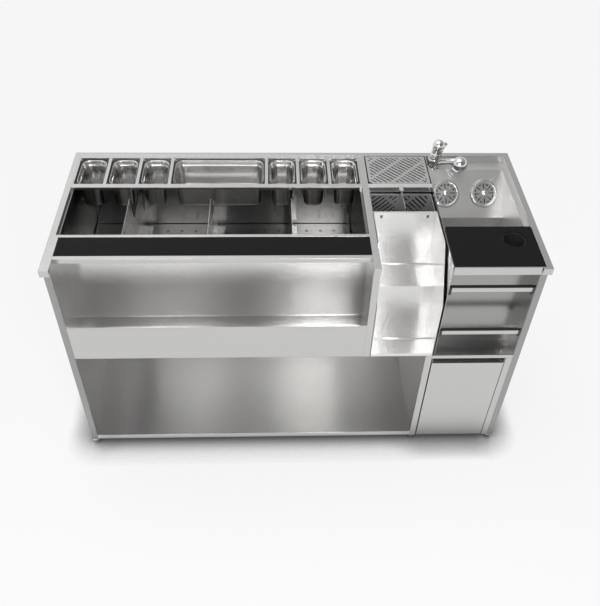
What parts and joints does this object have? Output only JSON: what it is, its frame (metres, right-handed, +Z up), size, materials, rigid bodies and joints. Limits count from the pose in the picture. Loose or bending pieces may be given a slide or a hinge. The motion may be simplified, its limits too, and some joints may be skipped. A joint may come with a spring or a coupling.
{
  "type": "bar sink with ice bin",
  "caption": "Stainless bar station with an insulated ice bin, garnish pans, speed rail, bottle rack, drainer, and a sink with tap, cutting board and waste drawer.",
  "frame": {"origin": "on the floor, in the middle of the footprint", "axes": "+X along the counter to the sink's side, +Y to the rear, +Z up"},
  "size_m": [1.54, 0.62, 0.9768],
  "materials": {
    "brushed_steel": "fine brushed stainless",
    "polished_steel": "polished stainless",
    "chrome": "polished chrome",
    "black_board": "fine grained black board",
    "black_plastic": "satin black plastic",
    "grey_plastic": "satin dark grey plastic",
    "foam": "rigid foam"
  },
  "bodies": {
    "station": {"back_panel": "brushed_steel", "bar_blocks": "black_plastic", "board_deck": "brushed_steel", "cabinet_floor": "brushed_steel", "cabinet_top": "brushed_steel", "door_post": "brushed_steel", "drainer_tray": "brushed_steel", "drawer_runners": "brushed_steel", "front_counter": "brushed_steel", "ice_bin_casing": "brushed_steel", "ice_bin_insulation": "foam", "ice_bin_tub": "brushed_steel", "ice_drain": "brushed_steel", "left_side_panel": "brushed_steel", "levelling_feet": "brushed_steel", "middle_deck": "brushed_steel", "middle_panel": "brushed_steel", "pan_rail": "brushed_steel", "partition_left": "brushed_steel", "partition_right": "brushed_steel", "recess_liner": "brushed_steel", "right_side_panel": "brushed_steel", "sink_bowl": "brushed_steel", "sink_drain": "brushed_steel", "speed_rail": "brushed_steel", "strainer_seats": "brushed_steel", "tap_body": "chrome", "top_rim": "brushed_steel", "undershelf": "brushed_steel", "waste_chute": "black_plastic"},
    "false_floor": {"ice_false_floor": "brushed_steel"},
    "divider_1": {"ice_divider_1": "brushed_steel"},
    "divider_2": {"ice_divider_2": "brushed_steel"},
    "divider_3": {"ice_divider_3": "brushed_steel"},
    "bar_mat": {"bar_board": "black_board"},
    "drainer_plate": {"drainer_grid": "brushed_steel"},
    "well": {"bottle_well": "brushed_steel"},
    "well_partition": {"well_divider": "brushed_steel"},
    "rack": {"step_rack": "brushed_steel", "rack_rods": "brushed_steel"},
    "strainer_l": {"strainer_left": "brushed_steel"},
    "strainer_r": {"strainer_right": "brushed_steel"},
    "spout": {"tap_spout": "chrome", "tap_aerator": "chrome"},
    "cartridge": {"tap_cartridge": "chrome"},
    "lever": {"tap_lever": "chrome"},
    "board": {"cutting_board": "black_board"},
    "bar_upper": {"retaining_bar_upper": "brushed_steel"},
    "bar_lower": {"retaining_bar_lower": "brushed_steel"},
    "drawer": {"drawer_front": "brushed_steel", "drawer_tray": "brushed_steel", "drawer_slides": "brushed_steel", "waste_bin": "grey_plastic"},
    "pan_1": {"garnish_pan_1": "polished_steel"},
    "pan_2": {"garnish_pan_2": "polished_steel"},
    "pan_3": {"garnish_pan_3": "polished_steel"},
    "pan_4": {"garnish_pan_4": "polished_steel"},
    "pan_5": {"garnish_pan_5": "polished_steel"},
    "pan_6": {"garnish_pan_6": "polished_steel"},
    "pan_wide": {"garnish_pan_wide": "polished_steel"}
  },
  "joints": [
    {"name": "pan_1_lift", "type": "slide", "parent": "station", "child": "pan_1", "axis": [0, 0, 1], "range_m": [0, 0.12]},
    {"name": "pan_2_lift", "type": "slide", "parent": "station", "child": "pan_2", "axis": [0, 0, 1], "range_m": [0, 0.12]},
    {"name": "pan_3_lift", "type": "slide", "parent": "station", "child": "pan_3", "axis": [0, 0, 1], "range_m": [0, 0.12]},
    {"name": "pan_4_lift", "type": "slide", "parent": "station", "child": "pan_4", "axis": [0, 0, 1], "range_m": [0, 0.12]},
    {"name": "pan_5_lift", "type": "slide", "parent": "station", "child": "pan_5", "axis": [0, 0, 1], "range_m": [0, 0.12]},
    {"name": "pan_6_lift", "type": "slide", "parent": "station", "child": "pan_6", "axis": [0, 0, 1], "range_m": [0, 0.12]},
    {"name": "pan_wide_lift", "type": "slide", "parent": "station", "child": "pan_wide", "axis": [0, 0, 1], "range_m": [0, 0.12]},
    {"name": "false_floor_lift", "type": "slide", "parent": "station", "child": "false_floor", "axis": [0, 0, 1], "range_m": [0, 0.01]},
    {"name": "divider_1_slide", "type": "slide", "parent": "false_floor", "child": "divider_1", "axis": [1, 0, 0], "range_m": [-0.15, 0.12]},
    {"name": "divider_2_slide", "type": "slide", "parent": "false_floor", "child": "divider_2", "axis": [1, 0, 0], "range_m": [-0.12, 0.12]},
    {"name": "divider_3_slide", "type": "slide", "parent": "false_floor", "child": "divider_3", "axis": [1, 0, 0], "range_m": [-0.12, 0.15]},
    {"name": "bar_mat_lift", "type": "slide", "parent": "station", "child": "bar_mat", "axis": [0, 0, 1], "range_m": [0, 0.03]},
    {"name": "drainer_plate_lift", "type": "slide", "parent": "station", "child": "drainer_plate", "axis": [0, 0, 1], "range_m": [0, 0.06]},
    {"name": "well_lift", "type": "slide", "parent": "station", "child": "well", "axis": [0, 0, 1], "range_m": [0, 0.39]},
    {"name": "well_partition_lift", "type": "slide", "parent": "well", "child": "well_partition", "axis": [0, 0, 1], "range_m": [0, 0.4]},
    {"name": "rack_lift", "type": "slide", "parent": "station", "child": "rack", "axis": [0, 0, 1], "range_m": [0, 0.41]},
    {"name": "strainer_left_lift", "type": "slide", "parent": "station", "child": "strainer_l", "axis": [0, -0.7012, 0.7129], "range_m": [0, 0.025]},
    {"name": "strainer_right_lift", "type": "slide", "parent": "station", "child": "strainer_r", "axis": [0, -0.7012, 0.7129], "range_m": [0, 0.025]},
    {"name": "spout_swing", "type": "hinge", "parent": "station", "child": "spout", "pos_m": [0.495, 0.263, 0.87], "axis": [0, 0, 1], "range_deg": [-60, 22]},
    {"name": "tap_temperature", "type": "hinge", "parent": "station", "child": "cartridge", "pos_m": [0.50363, 0.263, 0.9554], "axis": [0.1392, 0, 0.9903], "range_deg": [-45, 45]},
    {"name": "lever_lift", "type": "hinge", "parent": "cartridge", "child": "lever", "pos_m": [0.50363, 0.263, 0.9554], "axis": [0, -1, 0], "range_deg": [0, 25]},
    {"name": "cutting_board_lift", "type": "slide", "parent": "station", "child": "board", "axis": [0, 0, 1], "range_m": [0, 0.05]},
    {"name": "bar_upper_lift", "type": "slide", "parent": "station", "child": "bar_upper", "axis": [0, 0, 1], "range_m": [0, 0.03]},
    {"name": "bar_lower_lift", "type": "slide", "parent": "station", "child": "bar_lower", "axis": [0, 0, 1], "range_m": [0, 0.03]},
    {"name": "waste_drawer_slide", "type": "slide", "parent": "station", "child": "drawer", "axis": [0, -1, 0], "range_m": [0, 0.3]}
  ]
}
